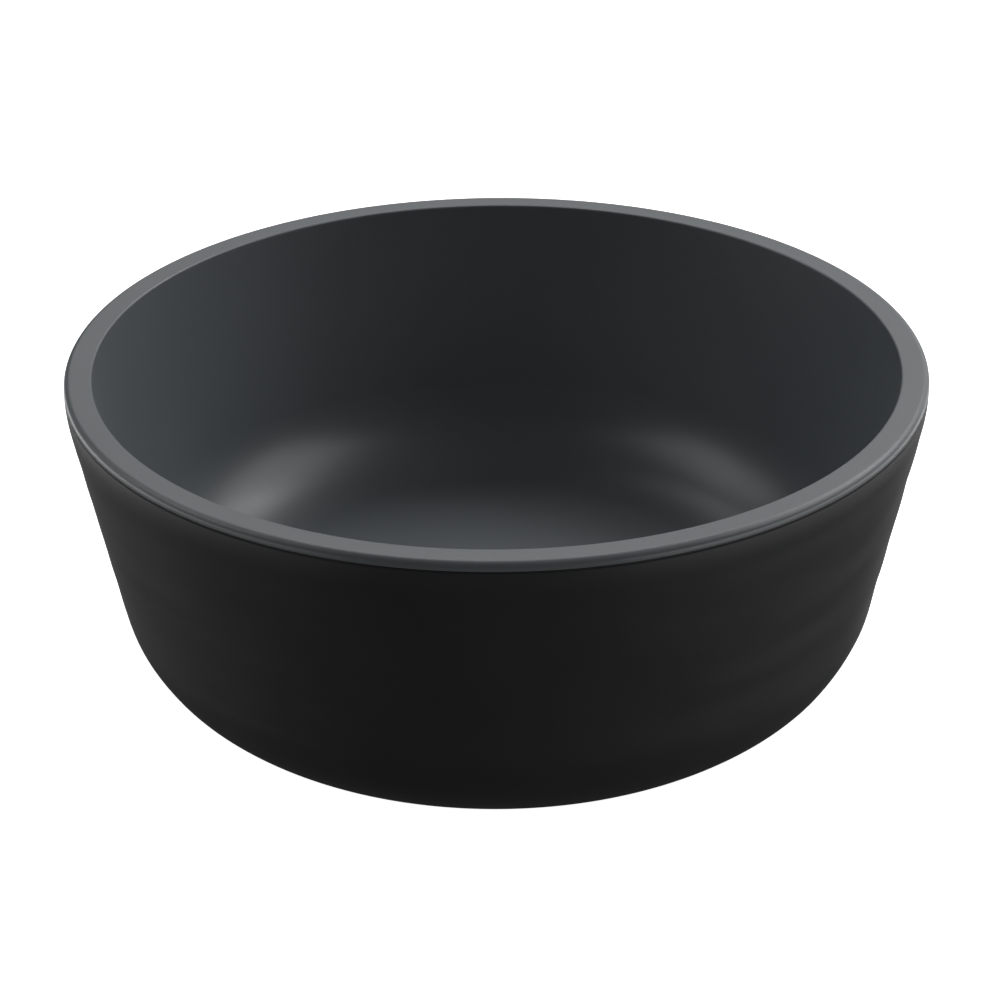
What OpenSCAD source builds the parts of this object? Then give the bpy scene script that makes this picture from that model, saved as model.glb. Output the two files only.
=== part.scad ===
// Round mixing bowl moulded in two layers: a black outer shell, and a grey liner
// that fills it and turns out over its top edge to make the rim.
// The origin is the centre of the plane that the foot rests on, and +Z is up.

/* [Bowl] */
// Outside diameter of the rim
rim_d = 150; // [110:1:240]
// Height from the resting plane to the top of the rim
bowl_h = 60; // [48:1:96]
// Angle of the wall from the vertical, the same inside and outside
wall_draft = 12; // [4:0.5:18]

/* [Shell] */
// Thickness of the outer layer on the wall
shell_t = 3; // [1.8:0.1:4]
// Thickness of the outer layer over the foot's recess, where weight keeps the bowl steady
base_t = 6; // [3:0.1:8]
// Radius of the outside corner between the wall and the resting plane
corner_r = 23; // [12:0.5:26]
// Radius of the curve that brings the wall upright under the lip
ease_r = 22; // [8:1:40]

/* [Liner] */
// Thickness of the inner layer on the wall and the floor
liner_t = 2.5; // [1.4:0.1:4]
// Radius of the inside corner between the wall and the floor
inner_corner_r = 18; // [10:0.5:24]

/* [Lip] */
// Height of the liner's lip, which shows outside above the shell
lip_h = 1.6; // [1.2:0.1:2.4]
// Radius of the lip's outer top edge
lip_edge_r = 1.1; // [0.3:0.1:1.1]
// Radius of the inner top edge, around the mouth
mouth_edge_r = 0.4; // [0.2:0.1:1]

/* [Foot] */
// Width of the ring that the bowl stands on
foot_w = 3.2; // [2:0.1:6]
// Depth of the recess inside the foot ring
recess_depth = 3.5; // [1.5:0.1:5]
// Radius of the fillet between the recess's side and its roof
recess_fillet_r = 1; // [0.2:0.1:1.4]

/* [Hidden] */
$fn = 180;
rim_r = rim_d / 2;
lip_z = bowl_h - lip_h;
// The liner sits in the shell with no gap, so its underside is the shell's inside.
seat_z = recess_depth + base_t;
floor_z = seat_z + liner_t;
wall_t = shell_t + liner_t;
seat_corner_r = inner_corner_r + liner_t;
// The outer wall's slope runs up to here, where the curve under the lip begins.
slope_top_z = lip_z - ease_r * sin(wall_draft);
slope_top_r = rim_r - ease_r * (1 - cos(wall_draft));
foot_r = corner_centre_r(0, 0, corner_r);
recess_r = foot_r - foot_w;
// Straight runs are drawn this far inside the arcs they run into, so that the two
// always cross. Without it, rounding can leave a hair-wide face between them.
lap = 0.0005;
past = 1;

// Radius at height z of the slope that lies inset inside the outer wall,
// where inset is measured square to the wall
function slope_r(inset, z) =
    slope_top_r - (slope_top_z - z) * tan(wall_draft) - inset / cos(wall_draft);

// Radius of the centre of a corner arc that touches that slope and the level z0
function corner_centre_r(inset, z0, r) = slope_r(inset, z0 + r) - r / cos(wall_draft);

// Half section of a solid bowl shape, with its base at z0 and its top at z1
module filled_section(inset, z0, z1, r) {
    centre = [corner_centre_r(inset, z0, r), z0 + r];
    polygon([
        [0, z0],
        [centre.x, z0],
        centre + (r - lap) * [cos(wall_draft), -sin(wall_draft)],
        [slope_r(inset + lap, z1), z1],
        [0, z1],
    ]);
    translate(centre) circle(r);
}

// Half section of all that lies inside the outer surface, up to the lip
module body_section() {
    filled_section(0, 0, slope_top_z, corner_r);
    intersection() {
        translate([rim_r - ease_r, lip_z]) circle(ease_r);
        square([rim_r + past, lip_z]);
    }
    translate([0, slope_top_z]) square([rim_r - ease_r, lip_z - slope_top_z]);
}

// Half section of the space in the shell that the liner fills
module seat_section() {
    filled_section(shell_t, seat_z, lip_z + past, seat_corner_r);
}

// Half section of the space that the bowl's contents fill, with its mouth rounded
module cavity_section() {
    filled_section(wall_t, floor_z, bowl_h + past, inner_corner_r);
    edge_z = bowl_h - mouth_edge_r;
    edge_centre = [slope_r(wall_t - mouth_edge_r + 2 * lap, edge_z), edge_z];
    translate(edge_centre) difference() {
        polygon([
            [0, 0],
            (mouth_edge_r + past) * [-cos(wall_draft), sin(wall_draft)],
            [-mouth_edge_r, mouth_edge_r + past],
            [0, mouth_edge_r + past],
        ]);
        circle(mouth_edge_r);
    }
}

// Half section of the recess under the base, with a fillet at its roof
module recess_section() {
    fillet_centre = [recess_r - recess_fillet_r, recess_depth - recess_fillet_r];
    translate([0, -past]) square([fillet_centre.x, recess_depth + past]);
    translate([0, -past]) square([recess_r - lap, fillet_centre.y + past]);
    translate(fillet_centre) circle(recess_fillet_r);
}

// Half section of the lip, with its outer top edge rounded
module lip_section() {
    edge_centre = [rim_r - lip_edge_r, bowl_h - lip_edge_r];
    translate([0, lip_z]) square([edge_centre.x, lip_h]);
    translate([0, lip_z]) square([rim_r, lip_h - lip_edge_r]);
    translate(edge_centre) intersection() {
        circle(lip_edge_r);
        square(lip_edge_r);
    }
}

module outer_shell() {
    color([0.035, 0.035, 0.036])
    rotate_extrude()
    difference() {
        body_section();
        seat_section();
        recess_section();
    }
}

module inner_liner() {
    color([0.27, 0.28, 0.29])
    rotate_extrude()
    difference() {
        union() {
            lip_section();
            intersection() {
                seat_section();
                square([rim_r, lip_z]);
            }
        }
        cavity_section();
    }
}

outer_shell();
inner_liner();
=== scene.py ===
from math import cos, sin, tan, pi, radians

import bmesh
import bpy
import numpy as np
from mathutils import Matrix, Vector


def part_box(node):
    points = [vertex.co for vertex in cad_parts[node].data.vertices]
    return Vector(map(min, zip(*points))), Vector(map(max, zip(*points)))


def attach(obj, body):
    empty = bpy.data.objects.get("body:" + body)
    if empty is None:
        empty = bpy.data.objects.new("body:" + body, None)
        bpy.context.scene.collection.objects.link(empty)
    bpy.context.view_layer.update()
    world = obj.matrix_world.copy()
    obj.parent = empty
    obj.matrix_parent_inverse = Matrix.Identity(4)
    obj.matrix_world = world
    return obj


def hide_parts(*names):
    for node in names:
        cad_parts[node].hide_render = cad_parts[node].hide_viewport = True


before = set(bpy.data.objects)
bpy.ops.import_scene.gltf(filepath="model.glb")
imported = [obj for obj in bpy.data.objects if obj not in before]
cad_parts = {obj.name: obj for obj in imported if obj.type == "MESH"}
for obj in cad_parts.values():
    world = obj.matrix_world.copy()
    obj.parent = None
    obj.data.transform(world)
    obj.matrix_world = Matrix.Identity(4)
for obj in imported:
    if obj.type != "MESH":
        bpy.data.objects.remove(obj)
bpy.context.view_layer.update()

# ---------------------------------------------------------------- outer shell
# The black outer half of the bowl: tapered wall, round lower corner, base and foot ring.
# It is pressed from moulding powder in a hot steel tool, which was turned and then dressed
# by hand: that leaves a fine matt grain and soft, uneven rings round the wall.

wall_draft = radians(12)
shell_t = 0.0030
base_t = 0.0060
corner_r = 0.0230
ease_r = 0.0220
seat_corner_r = 0.0205
foot_w = 0.0032
recess_fillet_r = 0.0010
parting_edge_r = 0.00015
foot_edge_r = 0.0003

rim_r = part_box("inner_liner")[1][0]
rim_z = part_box("inner_liner")[1][2]
parting_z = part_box("outer_shell")[1][2]
seat_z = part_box("inner_liner")[0][2]
recess_depth = seat_z - base_t
slope_top = Vector((rim_r - ease_r * (1 - cos(wall_draft)), parting_z - ease_r * sin(wall_draft)))


def slope_r(inset, z):
    """Radius at height z of the slope that lies inset inside the outer wall."""
    return slope_top.x - (slope_top.y - z) * tan(wall_draft) - inset / cos(wall_draft)


def corner_centre(inset, z, radius):
    """Centre of the arc that joins that slope to the level z."""
    return Vector((slope_r(inset, z + radius) - radius / cos(wall_draft), z + radius))


def arc(centre, radius, start, end, steps):
    """Points of a half section along an arc, its angles in radians from outwards to upwards."""
    angles = np.linspace(start, end, steps + 1)
    return [(centre[0] + radius * cos(a), centre[1] + radius * sin(a)) for a in angles]


def run(start, end, steps):
    """Points along a straight stretch of a half section, without its two ends."""
    start, end = Vector(start), Vector(end)
    return [tuple(start.lerp(end, i / steps)) for i in range(1, steps)]


turn_steps = 360


def lathe(name, section, swell=None):
    """A closed solid turned about Z from a half section that begins and ends on the axis.
    swell(points, angles) gives how far each point stands out along the surface normal."""
    points = np.array(section)
    along = np.gradient(points, axis=0)
    along /= np.linalg.norm(along, axis=1)[:, None]
    outward = np.stack([along[:, 1], -along[:, 0]], axis=1)
    angles = np.arange(turn_steps) * 2 * pi / turn_steps
    proud = swell(points, angles) if swell else np.zeros((len(points), len(angles)))
    radius = points[:, :1] + proud * outward[:, :1]
    height = points[:, 1:] + proud * outward[:, 1:]
    turned = np.stack([radius * np.cos(angles), radius * np.sin(angles), height], axis=2)[1:-1]
    verts = [(0, 0, points[0, 1]), *turned.reshape(-1, 3).tolist(), (0, 0, points[-1, 1])]
    last = len(verts) - 1
    faces = []
    for j in range(turn_steps):
        k = (j + 1) % turn_steps
        faces.append((0, 1 + k, 1 + j))
        for low in range(1, last - turn_steps, turn_steps):
            high = low + turn_steps
            faces.append((low + j, low + k, high + k, high + j))
        faces.append((last - turn_steps + j, last - turn_steps + k, last))
    mesh = bpy.data.meshes.new(name)
    mesh.from_pydata(verts, [], faces)
    mesh.shade_smooth()
    piece = bpy.data.objects.new(name, mesh)
    bpy.context.scene.collection.objects.link(piece)
    return piece


foot_centre = corner_centre(0, 0, corner_r)
seat_centre = corner_centre(shell_t, seat_z, seat_corner_r)
recess_r = foot_centre.x - foot_w
slope_foot = foot_centre + corner_r * Vector((cos(wall_draft), -sin(wall_draft)))
seat_slope_foot = seat_centre + seat_corner_r * Vector((cos(wall_draft), -sin(wall_draft)))
seat_top = (slope_r(shell_t, parting_z), parting_z)
shell_section = [
    (0, recess_depth),
    *run((0, recess_depth), (recess_r - recess_fillet_r, recess_depth), 30),
    *arc((recess_r - recess_fillet_r, recess_depth - recess_fillet_r), recess_fillet_r, pi / 2, 0, 8),
    *run((recess_r, recess_depth - recess_fillet_r), (recess_r, foot_edge_r), 5),
    *arc((recess_r + foot_edge_r, foot_edge_r), foot_edge_r, pi, 3 * pi / 2, 6),
    *run((recess_r + foot_edge_r, 0), (foot_centre.x, 0), 8),
    *arc(foot_centre, corner_r, -pi / 2, -wall_draft, 60),
    *run(slope_foot, slope_top, 60),
    *arc((rim_r - ease_r, parting_z), ease_r, -wall_draft, -parting_edge_r / ease_r, 14),
    *arc((rim_r - parting_edge_r, parting_z - parting_edge_r), parting_edge_r, 0, pi / 2, 5),
    *run((rim_r - parting_edge_r, parting_z), seat_top, 8),
    seat_top,
    *run(seat_top, seat_slope_foot, 16),
    *arc(seat_centre, seat_corner_r, -wall_draft, -pi / 2, 24),
    *run((seat_centre.x, seat_z), (0, seat_z), 10),
    (0, seat_z),
]


least_climb = 0.000001
strong_rings = 0.000075
fine_rings = 0.000030
rear_rings = 0.000045


def tool_rings(points, angles):
    """Soft rings of the dressed tool. They are strongest on one side of the bowl, run finer
    and slightly aslant on the other, and die out towards the parting line and the foot.
    The outside wall is the only part of the section that climbs."""
    outside = np.gradient(points[:, 1:], axis=0) > least_climb
    below = (parting_z - points[:, 1:]) / cos(wall_draft)
    fade = np.clip((below - 0.003) / 0.004, 0, 1) * np.clip(points[:, 1:] / 0.010, 0, 1)
    strong = np.exp(5 * (np.cos(angles - radians(-28)) - 1))
    fine = np.exp(5 * (np.cos(angles - radians(205)) - 1))
    rear = np.exp(3 * (np.cos(angles - radians(95)) - 1))
    uneven = 0.75 + 0.25 * np.sin(7 * angles + 260 * below) + 0.15 * np.sin(17 * angles - 410 * below)
    drift = 0.0010 * np.sin(4 * angles + 0.4) + 0.0005 * np.sin(11 * angles + 300 * below)
    wide_wave = np.cos(2 * pi * (below - 0.0088 + drift) / 0.0106)
    fine_wave = np.cos(2 * pi * (below - 0.0060 + 0.004 * np.sin(angles - radians(205))) / 0.0078)
    height = strong_rings * strong * wide_wave + fine_rings * fine * fine_wave
    height = height + rear_rings * rear * wide_wave
    return outside * fade * uneven * height


class Level:
    """The output of a shader node, which takes part in plain arithmetic."""

    def __init__(self, finish, socket):
        self.finish = finish
        self.socket = socket

    def maths(self, operation, first, second):
        return self.finish.node("ShaderNodeMath", {"operation": operation}, {0: first, 1: second})

    def __add__(self, other):
        return self.maths("ADD", self, other)

    def __radd__(self, other):
        return self.maths("ADD", other, self)

    def __sub__(self, other):
        return self.maths("SUBTRACT", self, other)

    def __rsub__(self, other):
        return self.maths("SUBTRACT", other, self)

    def __mul__(self, other):
        return self.maths("MULTIPLY", self, other)

    def __rmul__(self, other):
        return self.maths("MULTIPLY", other, self)


class Finish:
    """One material in the making. All its nodes come from node()."""

    def __init__(self, name):
        self.material = bpy.data.materials.new(name)
        self.material.use_nodes = True
        self.material.node_tree.nodes.clear()
        self.place = self.node("ShaderNodeTexCoord", output="Object")

    def node(self, kind, settings=None, sockets=None, output=0):
        made = self.material.node_tree.nodes.new(kind)
        for name, value in (settings or {}).items():
            setattr(made, name, value)
        for name, value in (sockets or {}).items():
            if isinstance(value, Level):
                self.material.node_tree.links.new(value.socket, made.inputs[name])
            else:
                made.inputs[name].default_value = value
        return Level(self, made.outputs[output]) if made.outputs else None

    def clouds(self, scale, detail=3.0, squeeze=(1, 1, 1)):
        """Soft random field. scale counts its blotches per metre, before the squeeze."""
        place = self.node(
            "ShaderNodeVectorMath", {"operation": "MULTIPLY"}, {0: self.place, 1: squeeze}
        )
        return self.node("ShaderNodeTexNoise", None, {"Vector": place, "Scale": scale, "Detail": detail})

    def ramp(self, field, low, high):
        """0 where field is under low, 1 where it is over high, smooth between."""
        return self.node(
            "ShaderNodeMapRange",
            {"interpolation_type": "SMOOTHSTEP"},
            {"Value": field, "From Min": low, "From Max": high},
        )

    def tint(self, share, base, other):
        """base where share is 0 and other where it is 1."""
        return self.node(
            "ShaderNodeMix",
            {"data_type": "RGBA"},
            {"Factor": share, 6: base, 7: other},
            output=2,
        )

    def surface(self, colour, roughness, relief, depth):
        """Closes the material: a rough dielectric whose relief stands depth metres high."""
        normal = self.node(
            "ShaderNodeBump", None, {"Strength": 0.5, "Distance": depth, "Height": relief}
        )
        shader = self.node(
            "ShaderNodeBsdfPrincipled",
            None,
            {"Base Color": colour, "Roughness": roughness, "Normal": normal, "IOR": 1.5},
        )
        self.node("ShaderNodeOutputMaterial", None, {"Surface": shader})
        return self.material


black = Finish("matt_black_moulding")
grain = black.clouds(2400, 2)
mottle = black.clouds(38, 4)
streaks = black.clouds(60, 3, (0.35, 0.35, 2.4))
height = black.node("ShaderNodeSeparateXYZ", None, {0: black.place}, output="Z")
scratches = black.ramp(black.clouds(1500, 2, (1, 0.15, 1)), 0.52, 0.66)
foot_wear = (1 - black.ramp(height, 0.0001, 0.0009)) * scratches
# The top edge of the black wall, just under the parting line, is painted lighter in blotches: partly a worn
# edge, partly a painted highlight along that edge.
edge_wear_and_highlight = black.ramp(height, parting_z - 0.00025, parting_z - 0.00005) * black.ramp(mottle, 0.35, 0.65)
deep_black = (0.0115, 0.0118, 0.0120, 1)
pale_black = (0.0150, 0.0152, 0.0154, 1)
powder = black.tint(black.ramp(mottle, 0.3, 0.7), deep_black, pale_black)
scuffed = black.tint(foot_wear, powder, (0.060, 0.060, 0.060, 1))
shell_colour = black.tint(0.35 * edge_wear_and_highlight, scuffed, (0.050, 0.052, 0.054, 1))
shell_rough = (
    0.50 + 0.10 * (mottle - 0.5) + 0.12 * (streaks - 0.5) + 0.10 * (grain - 0.5) + 0.15 * foot_wear
)
shell_relief = grain + 0.5 * streaks - 0.6 * foot_wear

shell = lathe("shell", shell_section, tool_rings)
shell.data.materials.append(black.surface(shell_colour, shell_rough, shell_relief, 0.000012))
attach(shell, "root")
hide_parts("outer_shell")

# ---------------------------------------------------------------- inner liner
# The grey inner half, which lines the wall and the floor and turns out over the rim as a
# square lip. It is pressed in a second shot onto the black shell and fuses to it, so only
# a fine line shows where the two colours meet.

inner_corner_r = 0.0180
lip_edge_r = 0.0011
lip_foot_r = 0.00012
mouth_edge_r = 0.0004
liner_t = 0.0025

wall_t = shell_t + liner_t
floor_z = seat_z + liner_t
inner_centre = corner_centre(wall_t, floor_z, inner_corner_r)
inner_slope_foot = inner_centre + inner_corner_r * Vector((cos(wall_draft), -sin(wall_draft)))
mouth_centre = Vector((slope_r(wall_t - mouth_edge_r, rim_z - mouth_edge_r), rim_z - mouth_edge_r))
mouth_slope_top = mouth_centre + mouth_edge_r * Vector((-cos(wall_draft), sin(wall_draft)))
liner_section = [
    (0, seat_z),
    *run((0, seat_z), (seat_centre.x, seat_z), 10),
    *arc(seat_centre, seat_corner_r, -pi / 2, -wall_draft, 24),
    *run(seat_slope_foot, seat_top, 16),
    seat_top,
    *run(seat_top, (rim_r - lip_foot_r, parting_z), 8),
    *arc((rim_r - lip_foot_r, parting_z + lip_foot_r), lip_foot_r, -pi / 2, 0, 5),
    *run((rim_r, parting_z + lip_foot_r), (rim_r, rim_z - lip_edge_r), 5),
    *arc((rim_r - lip_edge_r, rim_z - lip_edge_r), lip_edge_r, 0, pi / 2, 14),
    *run((rim_r - lip_edge_r, rim_z), (mouth_centre.x, rim_z), 20),
    *arc(mouth_centre, mouth_edge_r, pi / 2, pi - wall_draft, 12),
    *run(mouth_slope_top, inner_slope_foot, 60),
    *arc(inner_centre, inner_corner_r, -wall_draft, -pi / 2, 60),
    *run((inner_centre.x, floor_z), (0, floor_z), 40),
    (0, floor_z),
]

grey = Finish("matt_grey_moulding")
grain = grey.clouds(2200, 2)
flow = grey.clouds(26, 5)
smudges = grey.clouds(70, 3)
specks = grey.ramp(grey.clouds(1100, 1), 0.70, 0.80)
flat_place = grey.node("ShaderNodeVectorMath", {"operation": "MULTIPLY"}, {0: grey.place, 1: (1, 1, 0)})
radius = grey.node("ShaderNodeVectorMath", {"operation": "LENGTH"}, {0: flat_place}, output="Value")
turning = grey.node("ShaderNodeTexNoise", {"noise_dimensions": "1D"}, {"W": radius, "Scale": 900.0})
height = grey.node("ShaderNodeSeparateXYZ", None, {0: grey.place}, output="Z")
on_floor = 1 - grey.ramp(height, floor_z + 0.0005, floor_z + 0.0060)
on_rim = grey.ramp(height, rim_z - 0.0006, rim_z - 0.0001)
clouded = grey.tint(grey.ramp(flow, 0.3, 0.7), (0.108, 0.120, 0.127, 1), (0.118, 0.130, 0.137, 1))
liner_colour = grey.tint(0.25 * specks, clouded, (0.180, 0.190, 0.195, 1))
liner_rough = (
    0.36 + 0.08 * (smudges - 0.5) + 0.08 * (grain - 0.5) + 0.05 * on_floor * (turning - 0.5) + 0.04 * on_rim
)
liner_relief = grain + 0.3 * smudges + 0.25 * on_floor * turning

liner = lathe("liner", liner_section)
liner.data.materials.append(grey.surface(liner_colour, liner_rough, liner_relief, 0.000010))
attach(liner, "root")
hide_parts("inner_liner")

# ---------------------------------------------------------------- studio
# A plain white table and cove under large softboxes, most of them high behind the bowl and
# to its right, with white boards low beside it. Lamps below the table, which casts no
# shadow, stand in for the light that a white table throws up.

table_size = 12.0
paper_glow = 0.98
cove_glow = 1.0
room_glow = 0.058
table_mesh = bpy.data.meshes.new("table")
table_mesh.from_pydata(
    [(x * table_size / 2, y * table_size / 2, 0) for x, y in ((-1, -1), (1, -1), (1, 1), (-1, 1))],
    [],
    [(0, 1, 2, 3)],
)
table = bpy.data.objects.new("table", table_mesh)
bpy.context.scene.collection.objects.link(table)
paper = Finish("white_paper")
fibres = paper.clouds(500, 3)
paper_white = paper.tint(fibres, (0.78, 0.78, 0.78, 1), (0.82, 0.82, 0.82, 1))
matt_paper = paper.node("ShaderNodeBsdfDiffuse", None, {"Color": paper_white})
bright_paper = paper.node("ShaderNodeEmission", None, {"Color": (1, 1, 1, 1), "Strength": paper_glow})
lit_paper = paper.node("ShaderNodeAddShader", None, {0: matt_paper, 1: bright_paper})
paper.node("ShaderNodeOutputMaterial", None, {"Surface": lit_paper})
table.data.materials.append(paper.material)

cove_mesh = bmesh.new()
bmesh.ops.create_uvsphere(cove_mesh, u_segments=48, v_segments=24, radius=table_size / 2)
cove_data = bpy.data.meshes.new("cove")
cove_mesh.to_mesh(cove_data)
cove_mesh.free()
cove = bpy.data.objects.new("cove", cove_data)
bpy.context.scene.collection.objects.link(cove)
backing = Finish("white_cove")
bright_cove = backing.node("ShaderNodeEmission", None, {"Color": (1, 1, 1, 1), "Strength": cove_glow})
backing.node("ShaderNodeOutputMaterial", None, {"Surface": bright_cove})
cove.data.materials.append(backing.material)

for backdrop in (table, cove):
    backdrop.visible_diffuse = False
    backdrop.visible_glossy = False
    backdrop.visible_shadow = False

studio = bpy.data.worlds.new("room")
studio.use_nodes = True
studio.node_tree.nodes["Background"].inputs["Color"].default_value = (1, 1, 1, 1)
studio.node_tree.nodes["Background"].inputs["Strength"].default_value = room_glow
bpy.context.scene.world = studio
bpy.context.scene.view_settings.view_transform = "Standard"

lamp_distance = 1.2


def softbox(name, azimuth, elevation, width, height, level):
    """A soft rectangular light that faces the bowl. level is what it sheds there, in W/m2."""
    light = bpy.data.lights.new(name, "AREA")
    light.shape = "RECTANGLE"
    light.size = width
    light.size_y = height
    light.energy = level * pi * lamp_distance**2
    lamp = bpy.data.objects.new(name, light)
    azimuth, elevation = radians(azimuth), radians(elevation)
    way = Vector((cos(elevation) * cos(azimuth), cos(elevation) * sin(azimuth), sin(elevation)))
    lamp.location = Vector((0, 0, rim_z)) + lamp_distance * way
    lamp.rotation_euler = way.to_track_quat("Z", "Y").to_euler()
    lamp.visible_camera = False
    bpy.context.scene.collection.objects.link(lamp)


softbox("right_key", 13, 38, 1.1, 0.7, 1.36)
softbox("rear_right_key", 50, 40, 0.7, 0.5, 0.95)
softbox("rear_key", 100, 50, 0.9, 0.45, 0.68)
softbox("left_key", 174, 38, 1.0, 0.6, 0.70)
softbox("right_side_board", 16, 8, 0.8, 0.4, 0.10)
softbox("left_side_board", 165, 8, 0.8, 0.4, 0.12)
softbox("rear_board", 90, 24, 0.8, 0.3, 0.18)
softbox("rear_right_board", 60, 6, 0.7, 0.35, 0.22)
softbox("right_table_glow", 27, -15, 1.3, 0.35, 0.66)
softbox("left_table_glow", 150, -15, 1.3, 0.35, 0.74)
softbox("rear_table_glow", 85, -28, 1.0, 0.40, 0.14)
softbox("right_front_glow", 332, -15, 1.2, 0.35, 0.80)
softbox("left_front_glow", 200, -15, 1.2, 0.35, 0.45)
softbox("front_table_glow", 270, -35, 0.8, 0.5, 0.06)

camera_distance = 8 * rim_r
camera_rise = radians(24.89)
camera_tilt = radians(27.24)
camera_pan = radians(0.06)
camera_roll = radians(-0.35)
camera = bpy.data.objects.new("camera", bpy.data.cameras.new("camera"))
camera.data.sensor_width = 36
camera.data.lens = 123.8
camera.location = (0, -camera_distance * cos(camera_rise), rim_z + camera_distance * sin(camera_rise))
camera.rotation_euler = (
    Matrix.Rotation(-camera_pan, 3, "Z")
    @ Matrix.Rotation(pi / 2 - camera_tilt, 3, "X")
    @ Matrix.Rotation(camera_roll, 3, "Z")
).to_euler()
bpy.context.scene.collection.objects.link(camera)
bpy.context.scene.camera = camera
